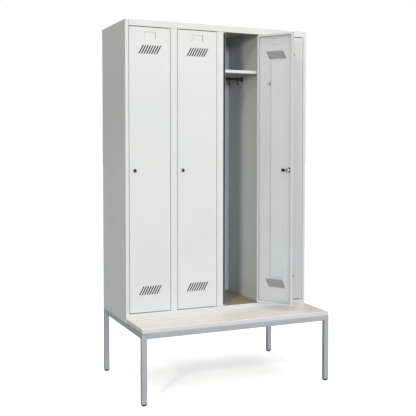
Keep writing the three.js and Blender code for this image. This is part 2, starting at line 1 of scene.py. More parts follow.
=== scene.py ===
# %% [markdown]
# # A steel locker that stands on a bench
#
# The real object is a cabinet of folded sheet steel with four narrow doors. It stands on a
# frame of square tube, and a wooden board in front of the doors makes a seat.
#
# This lesson dresses the finished frame: it sets a camera and a studio, mixes the paints,
# the wood and the small metals, and then makes each family of pieces in turn. The frame's
# pieces have their sizes and joints already, so a new piece that stands for one of them takes
# its place, its finish and its body from it.

import json
import math

import bmesh
import bpy
import numpy as np
from mathutils import Matrix, Vector

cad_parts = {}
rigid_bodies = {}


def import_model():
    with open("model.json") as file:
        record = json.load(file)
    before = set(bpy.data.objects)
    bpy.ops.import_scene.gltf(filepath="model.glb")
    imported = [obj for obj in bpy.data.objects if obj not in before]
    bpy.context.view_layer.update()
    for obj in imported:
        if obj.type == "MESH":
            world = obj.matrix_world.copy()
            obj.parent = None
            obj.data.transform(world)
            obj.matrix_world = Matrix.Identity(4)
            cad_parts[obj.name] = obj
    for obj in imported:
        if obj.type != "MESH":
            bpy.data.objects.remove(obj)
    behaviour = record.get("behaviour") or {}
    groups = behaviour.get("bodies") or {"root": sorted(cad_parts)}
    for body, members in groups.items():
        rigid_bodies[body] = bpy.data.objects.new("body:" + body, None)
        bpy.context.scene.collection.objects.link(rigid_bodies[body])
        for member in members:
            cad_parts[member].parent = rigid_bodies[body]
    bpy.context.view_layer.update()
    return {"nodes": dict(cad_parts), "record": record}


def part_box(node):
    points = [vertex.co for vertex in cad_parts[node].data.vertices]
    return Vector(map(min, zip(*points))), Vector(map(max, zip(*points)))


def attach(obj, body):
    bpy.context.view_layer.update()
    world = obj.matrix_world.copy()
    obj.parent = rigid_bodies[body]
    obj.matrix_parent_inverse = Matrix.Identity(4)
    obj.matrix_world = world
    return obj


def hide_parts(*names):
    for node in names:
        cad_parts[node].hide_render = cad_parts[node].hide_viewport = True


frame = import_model()

# %% [markdown]
# ## The camera
#
# A catalogue picture of tall furniture keeps its uprights nearly upright, and a camera that
# tilts down makes them lean. This one stands almost five metres away, left of the middle and
# at chest height, and looks down by little more than two degrees. A greater tilt could frame
# the whole product too, but a shift of the sensor, as in a view camera, does that without
# the lean, so the shift was chosen.

# %% Set the camera
PICTURE = 416
FOCAL_PIXELS = 786.5
CENTRE_PIXELS = (244.0, 180.2)
CAMERA_PLACE = Vector((-1.9262, -4.5281, 1.4348))
YAW, PITCH, ROLL = (math.radians(a) for a in (25.241, 2.344, 0.137))
SENSOR_WIDTH = 36.0
FARTHEST_SEEN = 200.0
scene = bpy.context.scene

ahead = Vector((math.sin(YAW) * math.cos(PITCH), math.cos(YAW) * math.cos(PITCH), -math.sin(PITCH)))
level_right = Vector((math.cos(YAW), -math.sin(YAW), 0.0))
level_up = level_right.cross(ahead)
right = level_right * math.cos(ROLL) + level_up * math.sin(ROLL)
up = level_up * math.cos(ROLL) - level_right * math.sin(ROLL)

camera_data = bpy.data.cameras.new("studio_camera")
camera_data.sensor_width = SENSOR_WIDTH
camera_data.lens = FOCAL_PIXELS / PICTURE * SENSOR_WIDTH
camera_data.shift_x = (PICTURE / 2 - CENTRE_PIXELS[0]) / PICTURE
camera_data.shift_y = (CENTRE_PIXELS[1] - PICTURE / 2) / PICTURE
camera_data.clip_end = FARTHEST_SEEN
camera = bpy.data.objects.new("studio_camera", camera_data)
turn = Matrix((right, up, -ahead)).transposed()
camera.matrix_world = Matrix.Translation(CAMERA_PLACE) @ turn.to_4x4()
scene.collection.objects.link(camera)
scene.camera = camera
print(f"lens {camera_data.lens:.1f} mm, shift {camera_data.shift_x:.3f} and {camera_data.shift_y:.3f}")

# %% [markdown]
# ## The floor
#
# A product picture stands on pale paper. A bright white floor could do, but it throws so much
# light up that the sides of the product lose their shade. So the floor has two shaders: the
# camera sees one that is nearly white and glows a little, and all other rays meet a grey one
# that sends back half of the light.

# %% Build the floor
FLOOR_REACH = 60.0
FLOOR_BOUNCE = 0.5
FLOOR_SEEN = 0.98
FLOOR_GLOW = 0.45


def grey(value):
    """A grey colour that is fully opaque."""
    return (value, value, value, 1)


def set_inputs(node, values):
    """Gives the named inputs of a node their values."""
    for name, value in values.items():
        node.inputs[name].default_value = value


def split_by_ray(tree, met, seen, output):
    """The camera sees one shader, and every other ray meets the other one."""
    which_ray = tree.nodes.new("ShaderNodeLightPath")
    choose = tree.nodes.new("ShaderNodeMixShader")
    tree.links.new(which_ray.outputs["Is Camera Ray"], choose.inputs[0])
    tree.links.new(met.outputs[0], choose.inputs[1])
    tree.links.new(seen.outputs[0], choose.inputs[2])
    tree.links.new(choose.outputs[0], output.inputs["Surface"])


floor_mesh = bpy.data.meshes.new("studio_floor")
floor_corners = [(x * FLOOR_REACH, y * FLOOR_REACH, 0) for x, y in ((-1, -1), (1, -1), (1, 1), (-1, 1))]
floor_mesh.from_pydata(floor_corners, [], [(0, 1, 2, 3)])
floor = bpy.data.objects.new("studio_floor", floor_mesh)
scene.collection.objects.link(floor)
floor_paint = bpy.data.materials.new("floor_paint")
floor_paint.use_nodes = True
floor_tree = floor_paint.node_tree
met = floor_tree.nodes["Principled BSDF"]
set_inputs(met, {"Base Color": grey(FLOOR_BOUNCE), "Roughness": 0.9, "Specular IOR Level": 0.1})
seen = floor_tree.nodes.new("ShaderNodeBsdfPrincipled")
set_inputs(seen, {"Base Color": grey(FLOOR_SEEN), "Roughness": 1.0, "Specular IOR Level": 0.0,
                  "Emission Color": grey(1.0), "Emission Strength": FLOOR_GLOW})
split_by_ray(floor_tree, met, seen, floor_tree.nodes["Material Output"])
floor_mesh.materials.append(floor_paint)
print("the floor reaches", FLOOR_REACH, "m each way")

# %% [markdown]
# ## The surround
#
# The picture's background is pure white. A wall of white would need its own lamps and would
# light the product too. A world background split in the same way needs neither: the camera
# sees white, and the product gets only a trace of light from it. The Standard view transform
# keeps white at full white.

# %% Build the surround
SURROUND_LIGHT = 0.03
BACKDROP_LIGHT = 1.0

surround = bpy.data.worlds.new("white_surround")
surround.use_nodes = True
surround_tree = surround.node_tree
surround_tree.nodes.clear()
met = surround_tree.nodes.new("ShaderNodeBackground")
set_inputs(met, {"Color": grey(SURROUND_LIGHT), "Strength": 1.0})
seen = surround_tree.nodes.new("ShaderNodeBackground")
set_inputs(seen, {"Color": grey(1.0), "Strength": BACKDROP_LIGHT})
split_by_ray(surround_tree, met, seen, surround_tree.nodes.new("ShaderNodeOutputWorld"))
scene.world = surround
scene.view_settings.view_transform = "Standard"
scene.view_settings.look = "None"
print("the surround gives", SURROUND_LIGHT, "and shows", BACKDROP_LIGHT)

# %% [markdown]
# ## The lights
#
# A studio has large soft boxes. An area lamp near the product would light its near end more
# than its far end. A sun lamp lights everything evenly, and its angle sets how soft the edges
# of the shadows are, so each soft box is a sun lamp here.
#
# A cool one in front reaches the back of the open compartment. Two on the left, a low one and
# a high one, reach only the front of its wall, so the corner behind stays dark. A faint blue
# one tints the side. A wide one stands on the right, and a very wide one above lights the
# floor and the seat. The last one stands behind, for the back panel.

# %% Hang the lights
# Each light has its degrees left of straight in front, its degrees above the floor, the degrees
# that it seems wide, and its strength in red, green and blue.
LIGHTS = {
    "front_light": (10, 5, 8, (0.76, 0.86, 1.20)),
    "left_light": (43, 4, 12, (1.10, 1.04, 0.93)),
    "left_high_light": (40, 30, 4, (0.61, 0.61, 0.46)),
    "right_light": (-30, 14, 30, (1.25, 1.12, 0.98)),
    "top_light": (10, 80, 80, (1.92, 1.93, 1.96)),
    "side_light": (72, 10, 20, (0.01, 0.04, 0.15)),
    "back_light": (-176, 20, 8, (0.95, 0.98, 1.05)),
}


def soft_sun(name, side, height, spread, light):
    """A far soft light that shines towards the product from its side and height."""
    data = bpy.data.lights.new(name, "SUN")
    data.angle = math.radians(spread)
    data.energy = max(light)
    data.color = [part / data.energy for part in light]
    side, height = math.radians(side), math.radians(height)
    towards_lamp = Vector((
        -math.sin(side) * math.cos(height), -math.cos(side) * math.cos(height), math.sin(height)))
    lamp = bpy.data.objects.new(name, data)
    lamp.matrix_world = (-towards_lamp).to_track_quat("-Z", "Y").to_matrix().to_4x4()
    scene.collection.objects.link(lamp)


for name, settings in LIGHTS.items():
    soft_sun(name, *settings)
print("hung", len(bpy.data.lights), "lights")

# %% [markdown]
# ## Helpers for materials
#
# A real finish is never one flat value. A picture of paint could be wrapped round the product,
# but it would need seams and would blur close up. Noise computed in Object coordinates has
# no seams and is sharp at any distance, so all finishes here are made of it: it mixes
# two shades, varies the shine and tilts the surface in a bump.

# %% Write the helpers for materials
# Most of a noise's values lie between these two.
NOISE_LOW, NOISE_HIGH = 0.3, 0.7
# A Mix node has inputs and outputs for each kind of data, and these are the ones for colours.
MIX_FACTOR, MIX_A, MIX_B, MIX_RESULT = 0, 6, 7, 2


def new_material(name):
    """A material, its node tree, its Principled shader and a node with its coordinates."""
    material = bpy.data.materials.new(name)
    material.use_nodes = True
    tree = material.node_tree
    return material, tree, tree.nodes["Principled BSDF"], tree.nodes.new("ShaderNodeTexCoord")


def noise_on(tree, space, scale, detail=2.0, roughness=0.5, stretch=(1, 1, 1)):
    """A noise pattern in Object coordinates, with scale in waves per metre."""
    mapping = tree.nodes.new("ShaderNodeMapping")
    mapping.inputs["Scale"].default_value = stretch
    tree.links.new(space.outputs["Object"], mapping.inputs["Vector"])
    noise = tree.nodes.new("ShaderNodeTexNoise")
    set_inputs(noise, {"Scale": scale, "Detail": detail, "Roughness": roughness})
    tree.links.new(mapping.outputs["Vector"], noise.inputs["Vector"])
    return noise


def graded(tree, noise, low, high):
    """A noise turned into numbers from low to high."""
    grade = tree.nodes.new("ShaderNodeMapRange")
    set_inputs(grade, {"From Min": NOISE_LOW, "From Max": NOISE_HIGH, "To Min": low, "To Max": high})
    tree.links.new(noise.outputs["Fac"], grade.inputs["Value"])
    return grade.outputs["Result"]


def feed(tree, value, socket):
    """Gives a socket a number or a colour, or links it to the output of another node."""
    if isinstance(value, bpy.types.NodeSocket):
        tree.links.new(value, socket)
    else:
        socket.default_value = (*value, 1) if isinstance(value, tuple) else value


def mix_colours(tree, first, second, factor, blend="MIX"):
    """Two colours mixed, or multiplied, by a factor."""
    mix = tree.nodes.new("ShaderNodeMix")
    mix.data_type = "RGBA"
    mix.blend_type = blend
    for value, socket in ((first, MIX_A), (second, MIX_B), (factor, MIX_FACTOR)):
        feed(tree, value, mix.inputs[socket])
    return mix.outputs[MIX_RESULT]


def bump_on(tree, noise, strength, depth, under=None):
    """The surface tilted by a noise, on top of another bump if one lies under it."""
    bump = tree.nodes.new("ShaderNodeBump")
    set_inputs(bump, {"Strength": strength, "Distance": depth})
    tree.links.new(noise.outputs["Fac"], bump.inputs["Height"])
    if under:
        tree.links.new(under, bump.inputs["Normal"])
    return bump.outputs["Normal"]


def shade(colour, factor):
    """The colour made darker or paler."""
    return tuple(min(1, part * factor) for part in colour)


print("helpers for materials ready")

# %% [markdown]
# ## Paints
#
# Powder paint is a thin even skin. Close up it has a faint orange-peel texture, and over a
# large panel the sheet itself is never quite flat. Both could be modelled, but they are far
# finer than the shapes, so both are bumps: a fine noise and a slow one. The colour drifts by
# about two percent. A tint paints light and shade by height: the product is paler and warmer
# towards its top and darker and cooler towards its feet.

# %% Mix the powder paints
SHEET_GREY = (0.530, 0.555, 0.535)
FRAME_GREY = (0.350, 0.370, 0.375)
DRIFT_DARK, DRIFT_PALE = 0.975, 1.02
DRIFT_SCALE, GLOSS_SCALE, PEEL_SCALE, WAVE_SCALE = 3.0, 14.0, 420.0, 4.5
SMOOTHER, ROUGHER = 0.04, 0.05
PEEL_STRENGTH, WAVE_STRENGTH = 0.25, 0.5
# Painted shade towards the feet and painted light towards the top, and the heights where each is full.
PAINTED_SHADE_LOW, PAINTED_LIGHT_HIGH = (0.945, 0.960, 0.970), (1.055, 1.035, 1.015)
PAINTED_SHADE_FROM, PAINTED_LIGHT_TO = 0.4, 2.1


def painted_light_by_height(tree, space, colour):
    """The colour multiplied by a tint of painted light and shade that changes with the height above the
    floor.
    """
    split = tree.nodes.new("ShaderNodeSeparateXYZ")
    tree.links.new(space.outputs["Object"], split.inputs[0])
    height = tree.nodes.new("ShaderNodeMapRange")
    set_inputs(height, {"From Min": PAINTED_SHADE_FROM, "From Max": PAINTED_LIGHT_TO})
    tree.links.new(split.outputs["Z"], height.inputs["Value"])
    light_tint = mix_colours(tree, PAINTED_SHADE_LOW, PAINTED_LIGHT_HIGH, height.outputs["Result"])
    return mix_colours(tree, colour, light_tint, 1.0, "MULTIPLY")


def powder_paint(name, colour, metallic, roughness, peel, wave):
    """Powder paint: drift, uneven gloss, and orange peel and a slow wave with depths in metres."""
    material, tree, shader, space = new_material(name)
    drift = graded(tree, noise_on(tree, space, DRIFT_SCALE, detail=3.0), 0.0, 1.0)
    tint = mix_colours(tree, shade(colour, DRIFT_DARK), shade(colour, DRIFT_PALE), drift)
    # The paint gets painted light towards its top and painted shade towards its feet.
    tree.links.new(painted_light_by_height(tree, space, tint), shader.inputs["Base Color"])
    shader.inputs["Metallic"].default_value = metallic
    gloss = noise_on(tree, space, GLOSS_SCALE, detail=4.0)
    uneven = graded(tree, gloss, roughness - SMOOTHER, roughness + ROUGHER)
    tree.links.new(uneven, shader.inputs["Roughness"])
    fine = bump_on(tree, noise_on(tree, space, PEEL_SCALE), PEEL_STRENGTH, peel)
    slow = bump_on(tree, noise_on(tree, space, WAVE_SCALE, detail=1.0), WAVE_STRENGTH, wave, fine)
    tree.links.new(slow, shader.inputs["Normal"])
    return material


sheet_paint = powder_paint("light_grey_powder_paint", SHEET_GREY, 0.0, 0.42, 0.00015, 0.0012)
bench_paint = powder_paint("silver_grey_powder_paint", FRAME_GREY, 0.3, 0.40, 0.00012, 0.0002)
print("mixed", sheet_paint.name, "and", bench_paint.name)

# %% [markdown]
# ## Seat wood
#
# The seat is pale board with its grain along the bench. A wave texture gives straight bands,
# but they repeat. Noise pulled long in one direction looks like grain and doesn't repeat, so
# it was chosen: a slow layer gives the broad streaks and varies the shine, and a fine one
# gives the pores and tilts the surface.

# %% Mix the seat wood
WOOD_PALE = (0.915, 0.885, 0.865)
WOOD_STREAK = (0.770, 0.700, 0.650)
PORE_TINT = (0.93, 0.90, 0.87)
STREAK_SCALE, STREAK_STRETCH = 30.0, (0.045, 1.0, 0.6)
PORE_SCALE, PORE_STRETCH = 260.0, (0.02, 1.0, 1.0)
STREAKS_SHOWN, PORES_SHOWN = (-0.25, 0.75), (0.0, 0.8)
WOOD_ROUGHNESS = (0.33, 0.46)
PORE_STRENGTH, PORE_DEPTH = 0.15, 0.0002

seat_wood, tree, shader, space = new_material("pale_varnished_board")
streaks = noise_on(tree, space, STREAK_SCALE, detail=5.0, roughness=0.6, stretch=STREAK_STRETCH)
pores = noise_on(tree, space, PORE_SCALE, detail=3.0, roughness=0.6, stretch=PORE_STRETCH)
broad = mix_colours(tree, WOOD_PALE, WOOD_STREAK, graded(tree, streaks, *STREAKS_SHOWN))
narrow = mix_colours(tree, broad, PORE_TINT, graded(tree, pores, *PORES_SHOWN), "MULTIPLY")
tree.links.new(narrow, shader.inputs["Base Color"])
tree.links.new(graded(tree, streaks, *WOOD_ROUGHNESS), shader.inputs["Roughness"])
tree.links.new(bump_on(tree, pores, PORE_STRENGTH, PORE_DEPTH), shader.inputs["Normal"])
print("mixed", seat_wood.name)

# %% [markdown]
# ## Small plastics and metals
#
# Moulded plastic has a fine even grain and a broad dull shine. Plated and coated metal shines
# in its own colour, but its scratches and its coating blur that. A full metallic value would
# mirror the surround, which is nearly dark to every ray but the camera's, so the values lie
# between, from 0.2 for the dark plug to 0.7 for zinc. One function makes all these finishes,
# because they differ only in numbers.

# %% Mix the plastics and the metals
FLECK_DARK, FLECK_PALE = 0.86, 1.12
GRAIN_STRENGTH = 0.3
DULL = 0.05


def speckled(name, colour, metallic, roughness, grain_scale, grain_depth, spread=0.06):
    """A finish of one hue that varies, with uneven gloss and a fine grain. The grain has its
    waves per metre and its depth in metres, and spread is how far the roughness varies."""
    material, tree, shader, space = new_material(name)
    fleck = noise_on(tree, space, grain_scale, detail=3.0)
    tint = mix_colours(
        tree, shade(colour, FLECK_DARK), shade(colour, FLECK_PALE), graded(tree, fleck, 0.0, 1.0))
    tree.links.new(tint, shader.inputs["Base Color"])
    shader.inputs["Metallic"].default_value = metallic
    tree.links.new(graded(tree, fleck, roughness - spread, roughness + spread), shader.inputs["Roughness"])
    tree.links.new(bump_on(tree, fleck, GRAIN_STRENGTH, grain_depth), shader.inputs["Normal"])
    return material


foot_plastic = speckled("black_moulded_plastic", (0.006, 0.006, 0.007), 0.0, 0.60, 900.0, 0.0001)
hook_plastic = speckled("glossy_black_plastic", (0.014, 0.014, 0.016), 0.0, 0.38, 700.0, 0.00005)
rail_coat = speckled("dark_coated_steel", (0.050, 0.055, 0.060), 0.4, 0.34, 500.0, 0.00003, 0.05)
zinc_plate = speckled("zinc_plated_steel", (0.44, 0.45, 0.47), 0.7, 0.40, 500.0, 0.00004)
lock_barrel = speckled("nickel_lock_barrel", (0.80, 0.79, 0.75), 0.4, 0.34, 500.0, 0.00003)
# Near black: the clip's dark steel made darker as painted shadow round the barrel.
lock_clip_shadowed = speckled("dark_clip_steel_painted_shadow", (0.014, 0.010, 0.006), 0.3, 0.45, 600.0, 0.00004)
lock_bezel = speckled("dark_nickel_bezel", (0.170, 0.155, 0.205), 0.5, 0.32, 500.0, 0.00003)
lock_plug = speckled("dark_lock_plug", (0.016, 0.013, 0.022), 0.2, 0.45, 600.0, 0.00004)
# Near black: the nut's dark bronze made darker as painted shadow round the barrel's end.
cam_nut_shadowed = speckled("dark_bronze_nut_painted_shadow", (0.060, 0.036, 0.013), 0.5, 0.40, 500.0, 0.00004)
cam_brass = speckled("dull_brass", (0.62, 0.55, 0.36), 0.6, 0.36, 500.0, 0.00004)
# Near black, for painted shadow: the strips on the door stops and the sleeves on the cam tips.
dark_painted_shadow = speckled("dark_painted_shadow", (0.020, 0.017, 0.015), 0.0, 0.62, 800.0, 0.00004)
# Near black gauze in the slots: painted shade, on a guessed gauze.
slot_shade_gauze = speckled("dark_gauze_painted_shade", (0.014, 0.011, 0.009), 0.0, 0.80, 2200.0, 0.0001)
# Brown board: painted shade on the floors of the compartments.
floor_shade_board = speckled("brown_board_painted_shade", (0.370, 0.300, 0.215), 0.0, 0.60, 60.0, 0.0002)
edge_band = speckled("grey_edge_band", (0.490, 0.495, 0.505), 0.0, 0.45, 1200.0, 0.00002, 0.03)
for finish in (foot_plastic, slot_shade_gauze, dark_painted_shadow):
    finish.node_tree.nodes["Principled BSDF"].inputs["Specular IOR Level"].default_value = DULL
print("there are", len(bpy.data.materials), "materials now")

# %% [markdown]
# ## Which finish and which body each node has
#
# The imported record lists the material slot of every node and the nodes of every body. They
# could be typed in again here, but the scene reads both from the record, so a piece can never
# ride on the wrong body. The towel hooks share the rails' slot but are shown zinc plated.

# %% Read slots and bodies
MATERIALS = {
    "cabinet_paint": sheet_paint, "bench_paint": bench_paint, "seat_wood": seat_wood,
    "foot_plastic": foot_plastic, "hook_plastic": hook_plastic, "rail_steel": rail_coat,
    "lock_metal": lock_barrel, "cam_brass": cam_brass,
}
record = frame["record"]
SLOT_OF = {part["node"]: part["material_slot"] for part in record["subparts"]}
BODY_OF = {node: body for body, members in record["behaviour"]["bodies"].items() for node in members}
JOINTS = {joint["name"]: joint for joint in record["behaviour"]["joints"]}
TOWEL_NODES = [name for name in SLOT_OF if name.startswith("towel_hook")]
for name, node in frame["nodes"].items():
    node.data.materials.clear()
    node.data.materials.append(MATERIALS[SLOT_OF[name]])
print("dressed", len(frame["nodes"]), "nodes in", len(set(SLOT_OF.values())), "finishes")

# %% [markdown]
# ## Folded sheet
#
# Every panel and door is one sheet of steel with rounded folds. The frame's nodes have the
# right folds but loose, flat triangles, so light would break at each facet. A bevel would
# round the folds again and change their size. A merged copy keeps the size and lets
# neighbouring faces share corners, and weighted normals keep the large faces flat while the
# narrow faces of a fold blend into a smooth curve. Edges sharper than 50 degrees, where the
# sheet was cut, stay crisp. The towel hooks and the locks are merged in the same way.

# %% Merge the folded sheets
FOLD_LIMIT = math.radians(50)
NORMAL_WEIGHT = 100
SHEET_MERGE = 2e-6


def weigh_normals(obj):
    """Large faces decide the shading at shared corners, so they stay flat beside a fold."""
    obj.data.shade_smooth()
    obj.data.set_sharp_from_angle(angle=FOLD_LIMIT)
    weigh = obj.modifiers.new("weighed_normals", "WEIGHTED_NORMAL")
    weigh.mode = "FACE_AREA"
    weigh.weight = NORMAL_WEIGHT
    weigh.keep_sharp = True


def stand_in(name, mesh, node):
    """An object with its node's finish, slot and body, which stands for the node."""
    obj = bpy.data.objects.new(name, mesh)
    scene.collection.objects.link(obj)
    mesh.materials.clear()
    mesh.materials.append(zinc_plate if node in TOWEL_NODES else MATERIALS[SLOT_OF[node]])
    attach(obj, BODY_OF[node])
    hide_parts(node)
    weigh_normals(obj)
    return obj


def merged_sheet(node):
    """A copy of a node with its doubled corners merged."""
    mesh = frame["nodes"][node].data.copy()
    mesh.name = f"{node}_sheet"
    work = bmesh.new()
    work.from_mesh(mesh)
    bmesh.ops.remove_doubles(work, verts=work.verts, dist=SHEET_MERGE)
    work.to_mesh(mesh)
    work.free()
    return stand_in(f"{node}_sheet", mesh, node)


SHEET_NODES = [name for name, slot in SLOT_OF.items() if slot == "cabinet_paint"]
LOCK_NODES = [name for name, slot in SLOT_OF.items() if slot in ("lock_metal", "cam_brass")]
merged = [merged_sheet(name) for name in SHEET_NODES + LOCK_NODES + TOWEL_NODES]
print("merged", len(merged), "pieces,", sum(len(m.data.vertices) for m in merged), "corners")

# %% [markdown]
# ## Square tube
#
# The bench is welded from square steel tube with rounded corners. A box with a bevel would
# have no hollow. A rounded square carried along a straight line gives both the round corners
# and the wall: the surface runs along the outside, over the cut end, back along the inside
# and over the other end, so it closes like a sleeve turned in on itself.

# %% Make the bench tubes
TUBE_SIZE = 0.030
TUBE_WALL = 0.0015
TUBE_CORNER = 0.003
CORNER_STEPS = 8
POINT_MERGE = 1e-7


def node_box(node):
    """The lowest and the highest corner of a node."""
    return [np.array(corner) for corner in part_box(node)]


def grid_faces(rows, columns):
    """Quads between neighbours on a grid of points that closes both ways."""
    row, column = np.meshgrid(np.arange(rows), np.arange(columns), indexing="ij")
    next_row, next_column = (row + 1) % rows, (column + 1) % columns
    corners = [row * columns + column, row * columns + next_column,
               next_row * columns + next_column, next_row * columns + column]
    return np.stack(corners, axis=-1).reshape(-1, 4)


def mesh_from(name, points, faces):
    """Puts arrays of points and faces into a mesh and turns its faces outwards."""
    mesh = bpy.data.meshes.new(name)
    mesh.from_pydata(points.reshape(-1, 3).tolist(), [], [list(map(int, face)) for face in faces])
    work = bmesh.new()
    work.from_mesh(mesh)
    bmesh.ops.remove_doubles(work, verts=work.verts, dist=POINT_MERGE)
    bmesh.ops.recalc_face_normals(work, faces=work.faces)
    work.to_mesh(mesh)
    work.free()
    return mesh


def arc_corners(reach_u, reach_v, radius):
    """A rectangle with arc corners, counterclockwise: the centre of each corner's arc plus a
    radius at angles that sweep a quarter turn."""
    quarter = np.repeat(np.arange(4), CORNER_STEPS + 1)
    angle = (quarter + np.tile(np.linspace(0, 1, CORNER_STEPS + 1), 4)) * math.pi / 2
    centre_u = np.where((quarter == 0) | (quarter == 3), 1, -1) * reach_u
    centre_v = np.where(quarter < 2, 1, -1) * reach_v
    return np.stack([centre_u + radius * np.cos(angle), centre_v + radius * np.sin(angle)], axis=-1)


def rounded_square(size, corner):
    """The points of a square with arc corners, from its size and its corner radius."""
    return arc_corners(size / 2 - corner, size / 2 - corner, corner)


def bench_tube(node):
    """The node's longest side is the tube's axis. Rows: outside start, outside end, inside
    end, inside start. Each row is a rounded square in the plane across the axis."""
    low, high = node_box(node)
    axis = int(np.argmax(high - low))
    others = [k for k in range(3) if k != axis]
    middle = (low + high) / 2
    outer = rounded_square(TUBE_SIZE, TUBE_CORNER)
    inner = rounded_square(TUBE_SIZE - 2 * TUBE_WALL, TUBE_CORNER - TUBE_WALL)
    points = np.empty((4, len(outer), 3))
    points[:, :, axis] = np.array([low[axis], high[axis], high[axis], low[axis]])[:, None]
    points[:, :, others] = middle[others] + np.stack([outer, outer, inner, inner])
    return stand_in(f"{node}_tube", mesh_from(f"{node}_tube", points, grid_faces(4, len(outer))), node)


tubes = [bench_tube(name) for name, slot in SLOT_OF.items() if slot == "bench_paint"]
print("made", len(tubes), "tubes of", len(tubes[0].data.vertices), "corners each")

# %% [markdown]
# ## Seat board
#
# The board's long edges are eased with a small round and its ends are just broken. A bevel
# would give all edges the same round, so the surface is a rounded rectangle carried along the
# bench instead. Near each end the section shrinks a little in steps, which rounds the end's
# edge too, and one flat face closes each end. A grey band covers every steep face.

# %% Make the seat board
BOARD_EDGE = 0.0025
LEAST_RADIUS = 1e-5
EASE, EASE_STEPS = 0.0012, 5
EDGE_SLOPE = 0.6
low, high = node_box("seat_board")
middle = (low + high) / 2
half_y, half_z = (high[1] - low[1]) / 2, (high[2] - low[2]) / 2


def give_finishes(obj, choices):
    """Adds finishes to an object. Each choice is a finish and a mask of the faces that wear it."""
    for finish, _ in choices:
        obj.data.materials.append(finish)
    numbers = list(range(1, len(choices) + 1))
    index = np.select([wears for _, wears in choices], numbers, 0)
    obj.data.polygons.foreach_set("material_index", index.astype(np.int32))


ease_angle = np.linspace(0, math.pi / 2, EASE_STEPS)
shrinks = np.concatenate([EASE * (1 - np.sin(ease_angle)), EASE * (1 - np.sin(ease_angle[::-1]))])
steps_in = EASE * (1 - np.cos(ease_angle))
stations = np.concatenate([low[0] + steps_in, high[0] - steps_in[::-1]])
rows = []
for station, shrink in zip(stations, shrinks):
    section = arc_corners(half_y - BOARD_EDGE, half_z - BOARD_EDGE, max(BOARD_EDGE - shrink, LEAST_RADIUS))
    rows.append(np.column_stack([np.full(len(section), station), middle[1:] + section]))
points = np.array(rows)
columns = points.shape[1]
faces = [list(face) for face in grid_faces(len(rows), columns)[: (len(rows) - 1) * columns]]
faces.append(list(range(columns)))
faces.append([(len(rows) - 1) * columns + k for k in range(columns)])
board = stand_in("seat_board_wood", mesh_from("seat_board_wood", points, faces), "seat_board")
face_normals = np.empty(len(board.data.polygons) * 3)
board.data.polygons.foreach_get("normal", face_normals)
give_finishes(board, [(edge_band, np.abs(face_normals.reshape(-1, 3)[:, 2]) < EDGE_SLOPE)])
print("board", [round(float(v), 4) for v in high - low])

# %% [markdown]
# ## Feet
#
# Each leg ends in a black plastic plug. What shows is a thin square flange under the tube
# and a domed button that stands on the floor. A squashed ball would have no flat to stand
# on, so the dome is a profile turned about the leg's axis. The flange is a stack of rounded
# squares that share the tube's outline.

# %% Make the feet
FOOT_HEIGHT = 0.011
FLANGE = 0.003
FLANGE_SOFT = 0.0006
RIM_RADIUS = 0.014
FLAT_RADIUS = 0.008
PLUG_LENGTH = 0.018
PLUG_PLAY = 0.0006
FOOT_SIDES = 48
DOME_STEPS = 12
# The size of a square that draws a surface together in its middle, in metres.
TINY = 1e-6


def turned_points(profile, sides):
    """A profile of (radius, height) turned about Z: radius times the cosine and the sine of
    the turn, and the height unchanged."""
    turn = np.arange(sides) / sides * 2 * math.pi
    radius, height = np.array(profile).T
    return np.stack([radius[:, None] * np.cos(turn), radius[:, None] * np.sin(turn),
                     np.repeat(height[:, None], sides, axis=1)], axis=-1)


def strip_faces(rows, columns):
    """Quads between the rows of a surface that closes round its columns only."""
    return grid_faces(rows, columns)[: (rows - 1) * columns]


def foot_points():
    """The dome's radius grows with the sine of an angle while its height falls with the
    cosine, from a small flat button up to the rim."""
    angle = np.linspace(0, math.pi / 2, DOME_STEPS)
    radius = FLAT_RADIUS + (RIM_RADIUS - FLAT_RADIUS) * np.sin(angle)
    height = (FOOT_HEIGHT - FLANGE) * (1 - np.cos(angle))
    inside_flange = FOOT_HEIGHT - FLANGE / 2
    return [(0.0, 0.0), *zip(radius, height), (RIM_RADIUS, inside_flange), (0.0, inside_flange)]


def stacked_square(levels):
    """Rounded squares one above the other: each level is (size, corner, height)."""
    rows = []
    for size, corner, height in levels:
        outline = rounded_square(size, corner)
        rows.append(np.column_stack([outline, np.full(len(outline), height)]))
    return np.array(rows)


def strips(surfaces):
    """Each surface that closes round its columns only, together with its faces."""
    return [(points, strip_faces(*points.shape[:2])) for points in surfaces]


def joined_mesh(name, parts):
    """Several closed surfaces in one mesh: each part is its points and its faces."""
    points, faces, start = [], [], 0
    for part_points, part_faces in parts:
        flat = part_points.reshape(-1, 3)
        points.append(flat)
        faces.extend([[int(k) + start for k in face] for face in part_faces])
        start += len(flat)
    return mesh_from(name, np.concatenate(points), faces)


def foot(node):
    """Dome, flange and the stem inside the leg, moved under the leg's axis."""
    low, high = node_box(node)
    centre = np.array([(low[0] + high[0]) / 2, (low[1] + high[1]) / 2, 0.0])
    dome = turned_points(foot_points(), FOOT_SIDES)
    base, soft = FOOT_HEIGHT - FLANGE, FLANGE_SOFT
    eased, full = (TUBE_SIZE - 2 * soft, TUBE_CORNER - soft), (TUBE_SIZE, TUBE_CORNER)
    flange = stacked_square([
        (TINY, 0, base), (*eased, base), (*full, base + soft),
        (*full, FOOT_HEIGHT - soft), (*eased, FOOT_HEIGHT), (TINY, 0, FOOT_HEIGHT)])
    inner = (TUBE_SIZE - 2 * TUBE_WALL - PLUG_PLAY, TUBE_CORNER - TUBE_WALL)
    root, top = FOOT_HEIGHT - soft, FOOT_HEIGHT + PLUG_LENGTH
    stem = stacked_square([(TINY, 0, root), (*inner, root), (*inner, top), (TINY, 0, top)])
    mesh = joined_mesh(f"{node}_plug", strips([dome + centre, flange + centre, stem + centre]))
    return stand_in(f"{node}_plug", mesh, node)


feet = [foot(name) for name, slot in SLOT_OF.items() if slot == "foot_plastic"]
print("made", len(feet), "feet")

